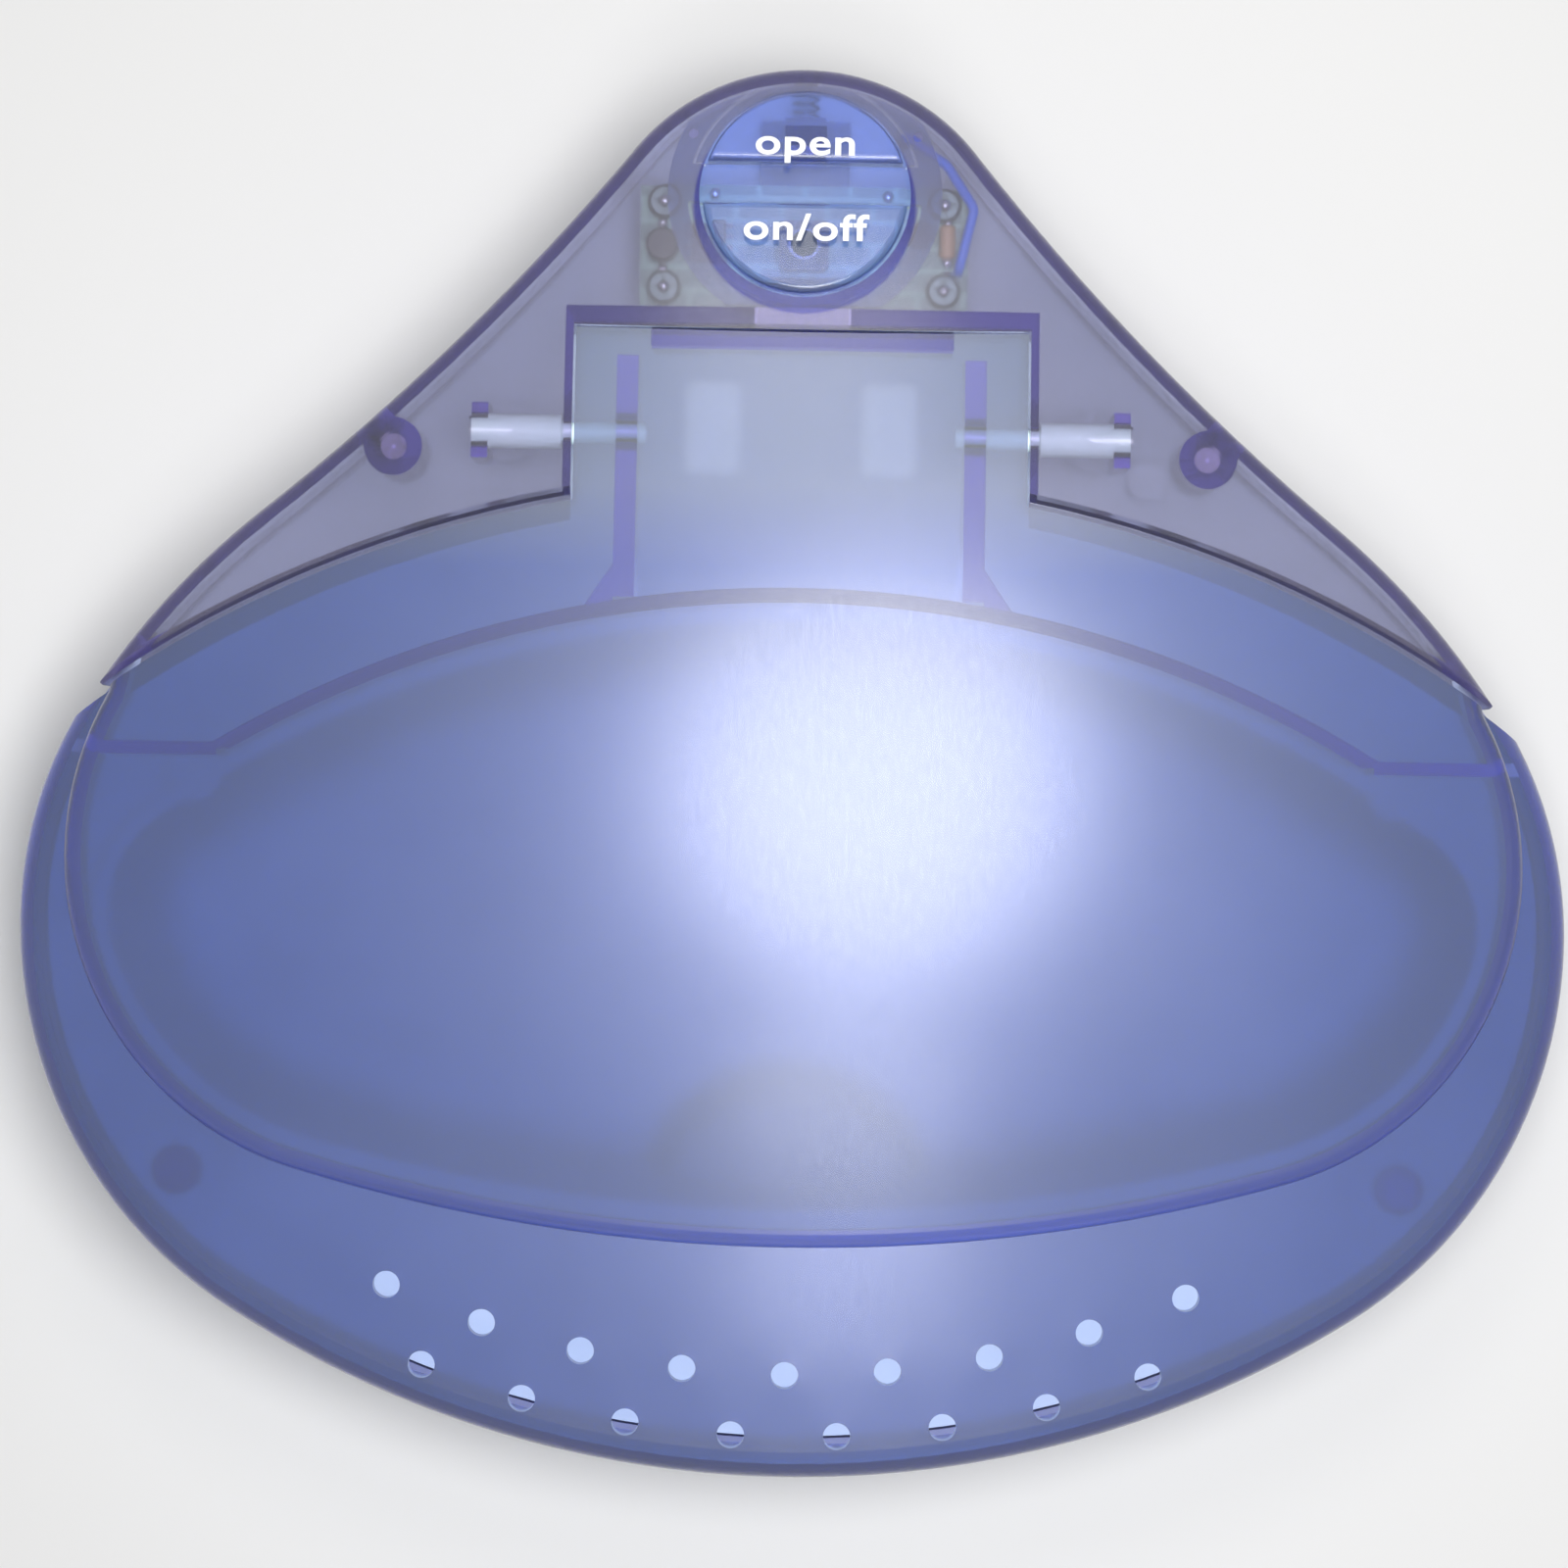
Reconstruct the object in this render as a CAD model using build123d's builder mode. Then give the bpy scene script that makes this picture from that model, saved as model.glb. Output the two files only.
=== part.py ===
from build123d import *
import os
from math import atan2, cos, degrees, radians, sin, sqrt, tan

# Eyeglass cleaner: a frosted basin with a hinged domed lid, millimetres, +Z up.
# The origin is on the surface that it stands on, below the middle of its outline.
# X points right, Y points to the buttons at the rear.

# Plan outline of the housing, walked clockwise from the rear as (radius, turn in degrees).
# A negative radius is a hollow arc. The last arc closes at the front on the middle plane.
rear_edge_y = 85.6
nose_radius, nose_turn = 26.3, 52.0
waist_radius, waist_turn = 273.0, 13.3
shoulder_radius, shoulder_turn = 97.9, 18.2
cheek_radius, cheek_turn = 48.7, 33.1
side_radius, side_turn = 54.0, 58.5
lid_overhang = 1.3

# Heights
foot_height = 1.5
parting_z = 33.0
crown_radius = 340.0
dome_crest_y, dome_crest_z = -8.0, 58.0
brim_crest_y, brim_crest_z = -38.0, 53.2

# Walls and clearances
shell = 2.2
housing_wall = 3.0
housing_taper = 6.0
base_rounding = 5.0
rim_rounding = 4.0
brim_rounding = 4.0
dome_rounding = 2.0
gap = 0.3
seam_gap = 0.7
seam_relief = 1.0

# Seam between lid and rear cover: an arc about a centre on the middle plane, and a tab
seam_centre_y, seam_radius = -114.5, 149.0
tab_half_width = 27.2
ledge_width, ledge_thickness = 3.0, 1.6

# Lid oval: front arc and corner arcs
oval_front_y, oval_front_radius = -57.2, 223.6
oval_corner_x, oval_corner_y, oval_corner_radius = 49.5, -11.3, 39.1
oval_rear_turn, shoulder_run = 60.0, 20.0
lid_rib_radius, lid_rib_thickness = 136.3, 1.8
lid_rib_foot_z, lid_rib_end_x = 36.2, 71.5
side_rib_y, side_rib_thickness, side_rib_outer_x = 1.5, 1.6, 95.0

# Drain holes in the brim
drain_hole_radius = 1.65
drain_row_upper_y, drain_row_upper_radius, drain_row_upper_count = -72.7, 123.0, 9
drain_row_upper_pitch = 12.4
drain_row_lower_y, drain_row_lower_radius, drain_row_lower_count = -80.2, 128.0, 8
drain_row_lower_pitch = 12.8

# Hinge
hinge_y, hinge_z = 40.3, 48.4
pin_radius, pin_end_radius = 2.1, 1.3
pin_inner_x, pin_outer_x = 18.6, 39.6
pin_fit, arm_fit = 0.03, 0.06
arm_x, arm_thickness = 20.9, 2.6
arm_boss_radius = 3.6
arm_front_y, arm_rear_y, arm_foot_z = 20.4, 49.6, 45.6
tab_radius = 13.0
strike_half_width, strike_thickness, strike_foot_z = 18.1, 1.9, 43.0
gusset, gusset_lead = 4.0, 2.0

# Rear cover
well_wall, seam_wall = 2.0, 1.0
hinge_rib_x, hinge_rib_thickness, hinge_rib_height = 38.6, 2.0, 10.0
cover_post_x, cover_post_y, cover_post_radius = 49.0, 38.2, 3.5

# Buttons
key_y, key_hole_radius, key_radius = 69.7, 12.8, 12.4
key_proud = 1.5
key_depth = 3.3
key_lip_radius, key_lip_thickness = 13.8, 1.0
key_edge_rounding = 0.8
bridge_front_y, bridge_rear_y = 68.6, 73.2
bridge_drop, bridge_foot_drop = 0.5, 4.4
frame_inner_radius, frame_outer_radius = 14.2, 16.6
open_travel, power_travel = 1.2, 0.6
stake_x, stake_y, stake_radius, stake_foot_drop = 13.6, 77.0, 0.6, 5.0
key_stem_margin = 0.4

# Basin and its deck
deck_thickness = 2.0
deck_inset = 1.9
pocket_inset = 1.6
basin_wall = 1.8
basin_margin = 3.0
basin_back_radius = 133.0
basin_taper = 10.0
basin_floor_z = 10.0
basin_corner = 14.0
basin_floor_rounding = 5.0
basin_lip_height = 1.8
deck_boss_x, deck_boss_y, deck_boss_radius, deck_boss_height = 74.1, -1.5, 3.4, 1.0
post_ring_radius, post_ring_width, post_ring_height = 7.2, 0.9, 0.8
nose_rest_y, nose_rest_radius, nose_rest_top_z = -57.0, 20.0, 24.0
nose_rest_taper, nose_rest_rounding = 14.0, 3.0

# Deck screws at the front and cover screws at the rear
post_x, post_y, post_radius = 75.25, -50.4, 3.4
screw_radius, screw_head_radius, screw_head_height = 1.5, 2.6, 1.8
screw_fit = 0.05
screw_point = 0.85
cap_radius, cap_height, cap_dimple_radius, cap_dimple_depth = 3.0, 2.6, 0.7, 0.4
screw_length = 12.0
base_screw_x, base_screw_y = 36.0, 41.0
base_column_radius, base_screw_seat_z = 3.6, 12.0

# Circuit board
board_half_width, board_front_y, board_rear_y = 20.0, 56.2, 71.0
board_z, board_thickness = 40.0, 1.6
board_post_x, board_post_radius = 17.0, 2.5
board_post_front_y, board_post_rear_y = 58.6, 69.0
board_screw_radius, board_screw_head_radius, board_screw_head_height = 1.1, 2.1, 1.3
board_screw_length = 6.0
switch_y, switch_size, switch_height = 63.4, 6.0, 3.4
switch_floor, switch_corner = 0.8, 0.6
plunger_radius, plunger_proud = 1.6, 0.9
chip_x, chip_y, chip_width, chip_length, chip_height = -11.5, 64.0, 4.0, 5.0, 1.6
chip_leg_pitch, chip_leg_width, chip_leg_reach, chip_leg_height = 1.27, 0.4, 0.9, 0.6
chip_standoff, chip_bevel = 0.2, 0.25
transistor_x, transistor_y, transistor_width, transistor_depth = 14.0, 65.1, 2.8, 3.0
transistor_height, transistor_bevel = 3.2, 0.7
capacitor_x, capacitor_y, capacitor_radius, capacitor_height = -17.2, 63.6, 2.0, 3.4
resistor_x, resistor_front_y, resistor_radius, resistor_length = 17.4, 62.6, 1.0, 4.0
part_rounding = 0.4

# Latch
latch_half_width, latch_plate = 5.5, 2.0
latch_upright_y, latch_upright = 56.4, 1.6
latch_nose_z, latch_nose_height = 44.2, 2.2
latch_ramp_half_width = 2.5
latch_ramp_y, latch_ramp_top_z = 77.4, 39.2
latch_rear_y = 79.6
latch_stem_foot_z = 37.3
ramp_gap = 0.1
latch_spring_wire, latch_spring_coil, latch_spring_turns = 0.4, 1.5, 3
stem_lead, stem_back = 3.6, 0.6

# Lid stop pads
pad_x, pad_y, pad_width, pad_depth, pad_thickness = 10.9, 42.1, 6.7, 11.3, 1.5

# Battery bay in the base
cell_radius, cell_length, cell_cap_radius, cell_cap_length = 7.1, 49.2, 2.75, 1.0
cell_front_y, cell_pitch = 29.4, 15.0
cell_z = 11.2
bay_clearance, bay_wall, bay_end_space = 0.5, 1.5, 1.6
cell_rounding = 0.5
contact_thickness, contact_half_height, dimple_radius = 0.4, 4.5, 2.0
door_thickness, door_lap, door_travel = 1.2, 2.6, 8.0
door_grip_radius = 6.0

# Motor with its eccentric weight
motor_x, motor_y, motor_length = 31.0, 25.2, 20.0
motor_radius, motor_flat = 7.75, 12.0
can_rounding, collar_radius, collar_length = 0.6, 3.0, 1.2
shaft_radius, shaft_length, shaft_fit = 1.0, 7.4, 0.05
bore_start, shaft_start = 2.0, 2.4
weight_radius, weight_length, weight_start, weight_hub = 6.0, 4.5, 2.0, 1.2
bracket_thickness, bracket_length, bracket_ear = 1.2, 5.5, 4.6
bracket_start = 9.0
bracket_screw_length = 4.5

# Leads
lead_radius = 0.6
red_hole, black_hole, blue_hole = (11.4, 61.6), (8.6, 61.6), (12.0, 77.6)
motor_tag, motor_lead_bend = 3.0, 2.5
blue_lead_bend = 1.8

# Feet
foot_radius = 5.0
foot_places = {
    "foot_front_left": (-56.0, -38.0),
    "foot_front_right": (56.0, -38.0),
    "foot_rear_left": (-13.0, 66.0),
    "foot_rear_right": (13.0, 66.0),
}

deck_top = parting_z
deck_foot = parting_z - deck_thickness
above = dome_crest_z + 5.0
pad_top = deck_top + pad_thickness
bracket_x = motor_x + bracket_start
bracket_half = motor_radius + bracket_thickness
bracket_screw_x = bracket_x + bracket_length / 2
bracket_screw_y = motor_y + bracket_half + bracket_ear / 2


def right_arcs(inset):
    """Arcs of the right half as (start, middle, end), moved inwards by inset."""
    walk = [
        (nose_radius, nose_turn),
        (-waist_radius, -waist_turn),
        (shoulder_radius, shoulder_turn),
        (cheek_radius, cheek_turn),
        (side_radius, side_turn),
    ]
    x, y, heading = 0.0, rear_edge_y, 0.0
    arcs = []
    for radius, turn in walk:
        centre = (x - radius * sin(radians(heading)), y - radius * cos(radians(heading)))
        arcs.append(arc_points(centre, radius - inset, heading, heading + turn))
        heading += turn
        x = centre[0] + radius * sin(radians(heading))
        y = centre[1] + radius * cos(radians(heading))
    front_radius = x / sin(radians(heading))
    centre = (0.0, y - front_radius * cos(radians(heading)))
    arcs.append(arc_points(centre, front_radius - inset, heading, 180.0))
    return arcs


def arc_points(centre, radius, start, end):
    """Start, middle and end of an arc whose outward normal turns clockwise from +Y."""
    return [
        (centre[0] + radius * sin(radians(turn)), centre[1] + radius * cos(radians(turn)))
        for turn in (start, (start + end) / 2, end)
    ]


def outline(inset):
    """Face of the housing's plan, inset from the rear cover's outline."""
    with BuildSketch() as face:
        with BuildLine():
            for start, middle, end in right_arcs(inset):
                ThreePointArc(start, middle, end)
            mirror(about=Plane.YZ)
        make_face()
    return face.sketch


def seam_disc(radius):
    """Face inside an arc that is concentric with the seam."""
    with BuildSketch() as face:
        with Locations((0, seam_centre_y)):
            Circle(radius)
    return face.sketch


def strip(half_width, front, rear):
    """Rectangular face across the middle plane."""
    with BuildSketch() as face:
        with Locations((0, (front + rear) / 2)):
            Rectangle(2 * half_width, rear - front)
    return face.sketch


def oval(inset):
    """Face of the dome's plan: the oval's front and corners, run on to the rear."""
    front_centre_y = oval_front_y + oval_front_radius
    corner = oval_corner_radius - inset
    lean = degrees(atan2(oval_corner_x, front_centre_y - oval_corner_y))
    front = arc_points((0, front_centre_y), oval_front_radius - inset, 180.0 - lean, 180.0)
    side = arc_points((oval_corner_x, oval_corner_y), corner, oval_rear_turn, 180.0 - lean)
    with BuildSketch() as face:
        with BuildLine():
            ThreePointArc(*side)
            ThreePointArc(side[2], front[1], front[2])
            Polyline(side[0], (side[0][0] - shoulder_run, rear_edge_y), (0, rear_edge_y))
            mirror(about=Plane.YZ)
        make_face()
    return face.sketch


def bowl(inset):
    """Face of the basin's plan: the oval closed by an arc that is concentric with the seam."""
    with BuildSketch() as face:
        add(oval(inset))
        with Locations((0, seam_centre_y)):
            Circle(basin_back_radius + basin_margin - inset, mode=Mode.INTERSECT)
        fillet(face.vertices().filter_by(lambda v: abs(v.X) > oval_corner_x).group_by(Axis.Y)[-1],
               basin_corner - inset + basin_margin)
    return face.sketch


def bowl_solid(inset, low):
    """Basin shape whose walls lean in towards a flat floor."""
    top = deck_top + basin_lip_height
    lean_in = (top - low) * tan(radians(basin_taper))
    with BuildPart() as body:
        with BuildSketch(Plane.XY.offset(top)):
            add(bowl(inset))
        with BuildSketch(Plane.XY.offset(low)):
            add(bowl(inset + lean_in))
        loft(ruled=True)
        fillet(body.faces().sort_by(Axis.Z)[0].edges(), basin_floor_rounding)
    return body.part


def prism(face, low, high):
    """Upright solid over a plan face."""
    with BuildPart() as block:
        with BuildSketch(Plane.XY.offset(low)):
            add(face)
        extrude(amount=high - low)
    return block.part


def crown(crest_y, crest_z, drop):
    """Ball whose top is the dome or the brim, drop below the outer surface."""
    with BuildPart() as ball:
        with Locations((0, crest_y, crest_z - crown_radius)):
            Sphere(crown_radius - drop, rotation=(90, 0, 0))
    return ball.part


def dome(drop):
    return crown(dome_crest_y, dome_crest_z, drop)


def brim(drop):
    return crown(brim_crest_y, brim_crest_z, drop)


def skin(face, top_drop, foot_drop):
    """Layer of a plan face between two depths below the dome's surface."""
    with BuildPart() as layer:
        add(prism(face, deck_top, above))
        add(dome(top_drop), mode=Mode.INTERSECT)
        add(dome(foot_drop), mode=Mode.SUBTRACT)
    return layer.part


def rod(plane, radius, length):
    """Cylinder that starts on a plane and runs along its normal."""
    with BuildPart() as bar:
        with BuildSketch(plane):
            Circle(radius)
        extrude(amount=length)
    return bar.part


def cross_bar(x, y, z, radius, length):
    """Cylinder along +X from a point."""
    return rod(Plane(origin=(x, y, z), x_dir=(0, 1, 0), z_dir=(1, 0, 0)), radius, length)


def block(x0, x1, y0, y1, z0, z1):
    """Box between two corners."""
    with BuildPart() as box:
        with Locations(((x0 + x1) / 2, (y0 + y1) / 2, (z0 + z1) / 2)):
            Box(x1 - x0, y1 - y0, z1 - z0)
    return box.part


def screw(x, y, seat_z, length, up, radius, head_radius, head_height):
    """Pointed pan head screw with a cross recess. up is 1 when its tip points up."""
    plane = Plane(origin=(x, y, seat_z), x_dir=(1, 0, 0), z_dir=(0, 0, up))
    with BuildPart() as body:
        with BuildSketch(plane):
            Circle(radius)
        extrude(amount=length)
        chamfer(
            body.edges().filter_by(GeomType.CIRCLE).group_by(Axis.Z)[-1 if up > 0 else 0],
            screw_point * radius,
        )
        with BuildSketch(plane):
            Circle(head_radius)
        extrude(amount=-head_height)
        chamfer(
            body.edges().filter_by(GeomType.CIRCLE).group_by(Axis.Z)[0 if up > 0 else -1],
            head_height / 3,
        )
        with BuildSketch(plane.offset(-head_height)):
            Rectangle(head_radius * 1.3, head_radius * 0.3)
            Rectangle(head_radius * 0.3, head_radius * 1.3)
        extrude(amount=head_height / 2, mode=Mode.SUBTRACT)
    return body.part


def pair(x, y):
    """The two places at x and -x."""
    return [(-x, y), (x, y)]


def save(part, name):
    part.label = name
    export_step(part, f"parts/{name}.step")


os.makedirs("parts", exist_ok=True)
sides = (-1, 1)
board_posts = pair(board_post_x, board_post_front_y) + pair(board_post_x, board_post_rear_y)

# Lower housing: tapered tub with a seat for the deck, screw posts and a battery bay
bay_half = cell_length / 2 + cell_cap_length + bay_end_space
bay_front = cell_front_y - cell_radius - bay_clearance
bay_rear = cell_front_y + cell_pitch + cell_radius + bay_clearance
bay_top = cell_z + cell_radius + bay_clearance
floor_top = foot_height + shell
with BuildPart() as lower_housing:
    with BuildSketch(Plane.XY.offset(parting_z)):
        add(outline(0))
    extrude(amount=-(parting_z - foot_height), taper=housing_taper)
    fillet(lower_housing.faces().sort_by(Axis.Z)[0].edges(), base_rounding)
    with BuildSketch(Plane.XY.offset(deck_foot)):
        add(outline(housing_wall))
    extrude(amount=-(deck_foot - floor_top), taper=housing_taper, mode=Mode.SUBTRACT)
    add(prism(outline(pocket_inset), deck_foot, parting_z + 1), mode=Mode.SUBTRACT)
    with BuildSketch(Plane.XY.offset(floor_top)):
        with Locations((0, (bay_front + bay_rear) / 2)):
            Rectangle(2 * (bay_half + bay_wall), bay_rear - bay_front + 2 * bay_wall)
    extrude(amount=bay_top + bay_wall - floor_top)
    with BuildSketch(Plane.XY.offset(floor_top)):
        with Locations(*pair(post_x, post_y)):
            Circle(post_radius)
        with Locations(*pair(base_screw_x, base_screw_y)):
            Circle(base_column_radius)
    extrude(amount=deck_foot - floor_top)
    with BuildSketch(Plane.XY.offset(foot_height)):
        with Locations((0, (bay_front + bay_rear) / 2)):
            Rectangle(2 * bay_half, bay_rear - bay_front)
    extrude(amount=bay_top - foot_height, mode=Mode.SUBTRACT)
    with BuildSketch(Plane.XY.offset(foot_height)):
        with Locations((0, (bay_front + bay_rear - door_travel) / 2)):
            Rectangle(
                2 * (bay_half + door_lap + gap),
                bay_rear - bay_front + 2 * door_lap + 2 * gap + door_travel,
            )
    extrude(amount=door_thickness + gap / 2, mode=Mode.SUBTRACT)
    # Pockets beside the wall for the heads of the cover screws
    with BuildSketch(Plane.XY.offset(deck_foot)):
        with Locations(*pair(cover_post_x, cover_post_y)):
            Circle(screw_head_radius + gap)
    extrude(amount=-(screw_head_height + gap), mode=Mode.SUBTRACT)
    # Pilot holes for the deck screws from above, clearance holes for the base screws from below
    with BuildSketch(Plane.XY.offset(deck_foot)):
        with Locations(*pair(post_x, post_y)):
            Circle(screw_radius + screw_fit)
    extrude(amount=-(screw_length - deck_thickness + 1), mode=Mode.SUBTRACT)
    with BuildSketch(Plane.XY.offset(foot_height)):
        with Locations(*pair(base_screw_x, base_screw_y)):
            Circle(screw_head_radius + gap)
    extrude(amount=base_screw_seat_z - foot_height, mode=Mode.SUBTRACT)
    with BuildSketch(Plane.XY.offset(base_screw_seat_z)):
        with Locations(*pair(base_screw_x, base_screw_y)):
            Circle(screw_radius + screw_fit)
    extrude(amount=deck_foot - base_screw_seat_z, mode=Mode.SUBTRACT)
save(lower_housing.part, "lower_housing")

# Battery door: flat slide under the bay with a grip recess
with BuildPart() as battery_door:
    with BuildSketch(Plane.XY.offset(foot_height)):
        with Locations((0, (bay_front + bay_rear) / 2)):
            Rectangle(2 * (bay_half + door_lap), bay_rear - bay_front + 2 * door_lap)
    extrude(amount=door_thickness)
    with BuildSketch(Plane.XY.offset(foot_height)):
        with Locations((0, (bay_front + bay_rear) / 2)):
            SlotCenterToCenter(2 * door_grip_radius, door_grip_radius)
    extrude(amount=door_thickness / 2, mode=Mode.SUBTRACT)
save(battery_door.part, "battery_door")

# Cells lie across the base, head to tail
for name, cell_y, side in (
    ("battery_front", cell_front_y, 1),
    ("battery_rear", cell_front_y + cell_pitch, -1),
):
    with BuildPart() as battery:
        add(cross_bar(-cell_length / 2, cell_y, cell_z, cell_radius, cell_length))
        fillet(battery.edges().filter_by(GeomType.CIRCLE), cell_rounding)
        add(
            cross_bar(
                side * cell_length / 2 - (cell_cap_length if side < 0 else 0),
                cell_y,
                cell_z,
                cell_cap_radius,
                cell_cap_length,
            )
        )
    save(battery.part, name)

# Contacts: sprung plates at both ends of the bay, each with a pressed dimple for its cell
for name, side, spans in (
    ("battery_bridge", -1, [(cell_front_y, cell_front_y + cell_pitch)]),
    ("battery_contacts", 1, [(cell_front_y,) * 2, (cell_front_y + cell_pitch,) * 2]),
):
    with BuildPart() as contact:
        for first, last in spans:
            plate_x = side * (bay_half - contact_thickness / 2)
            add(
                block(
                    plate_x - contact_thickness / 2,
                    plate_x + contact_thickness / 2,
                    first - contact_half_height,
                    last + contact_half_height,
                    cell_z - contact_half_height,
                    cell_z + contact_half_height,
                )
            )
            for cell_y in sorted({first, last}):
                head = (cell_y == cell_front_y) == (side > 0)
                reach = bay_end_space - contact_thickness
                reach += 0 if head else cell_cap_length
                inner = bay_half - contact_thickness
                start = inner - reach if side > 0 else -inner
                add(cross_bar(start, cell_y, cell_z, dimple_radius, reach))
    save(contact.part, name)

# Feet
for name, (foot_x, foot_y) in foot_places.items():
    with BuildPart() as foot:
        add(rod(Plane(origin=(foot_x, foot_y, 0)), foot_radius, foot_height))
        fillet(foot.faces().sort_by(Axis.Z)[0].edges(), foot_height / 3)
    save(foot.part, name)

# Basin: bowl and deck in one moulding
with BuildPart() as basin:
    add(prism(outline(deck_inset), deck_foot, deck_top))
    add(bowl_solid(basin_margin - basin_wall, basin_floor_z - basin_wall))
    add(bowl_solid(basin_margin, basin_floor_z), mode=Mode.SUBTRACT)
    # Posts that carry the circuit board, with pilot holes
    with BuildSketch(Plane.XY.offset(deck_top)):
        with Locations(*board_posts):
            Circle(board_post_radius)
    extrude(amount=board_z - deck_top)
    with BuildSketch(Plane.XY.offset(board_z)):
        with Locations(*board_posts):
            Circle(board_screw_radius + screw_fit)
    extrude(amount=-(board_screw_length - board_thickness + gap), mode=Mode.SUBTRACT)
    # Raised rings round the deck screws, and a low boss at each end of the deck
    with BuildSketch(Plane.XY.offset(deck_top)):
        with Locations(*pair(post_x, post_y)):
            Circle(post_ring_radius)
            Circle(post_ring_radius - post_ring_width, mode=Mode.SUBTRACT)
        add(outline(shell + gap), mode=Mode.INTERSECT)
    extrude(amount=post_ring_height)
    with BuildSketch(Plane.XY.offset(deck_top)):
        with Locations(*pair(deck_boss_x, deck_boss_y)):
            Circle(deck_boss_radius)
    extrude(amount=deck_boss_height)
    # Bosses for the base screws and the bracket's screw
    with BuildSketch(Plane.XY.offset(deck_top)):
        with Locations(*pair(base_screw_x, base_screw_y)):
            Circle(base_column_radius)
    extrude(amount=base_column_radius)
    with BuildSketch(Plane.XY.offset(deck_foot)):
        with Locations(*pair(base_screw_x, base_screw_y)):
            Circle(screw_radius + screw_fit)
    extrude(amount=deck_thickness + base_column_radius - 1, mode=Mode.SUBTRACT)
    add(
        rod(
            Plane(origin=(bracket_screw_x, bracket_screw_y, deck_top)),
            board_post_radius,
            board_post_radius,
        )
    )
    add(
        rod(
            Plane(origin=(bracket_screw_x, bracket_screw_y, deck_foot)),
            board_screw_radius + screw_fit,
            bracket_screw_length - bracket_thickness + gap,
        ),
        mode=Mode.SUBTRACT,
    )
    # Holes where the leads pass through the deck
    with BuildSketch(Plane.XY.offset(deck_foot)):
        with Locations(red_hole, black_hole, blue_hole):
            Circle(lead_radius + gap)
    extrude(amount=deck_thickness, mode=Mode.SUBTRACT)
    with BuildSketch(Plane.XY.offset(deck_foot)):
        with Locations(*pair(post_x, post_y), *pair(cover_post_x, cover_post_y)):
            Circle(screw_radius + screw_fit)
    extrude(amount=deck_thickness, mode=Mode.SUBTRACT)
save(basin.part, "basin")

# Nose rest: soft hump that leans on the front wall of the basin
with BuildPart() as nose_rest:
    with BuildSketch(Plane.XY.offset(basin_floor_z)):
        with Locations((0, nose_rest_y)):
            Circle(nose_rest_radius)
    extrude(amount=nose_rest_top_z - basin_floor_z, taper=nose_rest_taper)
    fillet(nose_rest.faces().sort_by(Axis.Z)[-1].edges(), nose_rest_rounding)
    add(bowl_solid(basin_margin + gap, basin_floor_z), mode=Mode.INTERSECT)
save(nose_rest.part, "nose_rest")

# Housing top before it is divided: outline and dome with a rounded rim
with BuildPart() as rear_block:
    add(prism(outline(0), parting_z, above))
    add(dome(0), mode=Mode.INTERSECT)
    fillet(
        rear_block.edges()
        .filter_by(GeomType.LINE, reverse=True)
        .filter_by(lambda edge: edge.center().Z > parting_z + gap),
        rim_rounding,
    )

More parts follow.
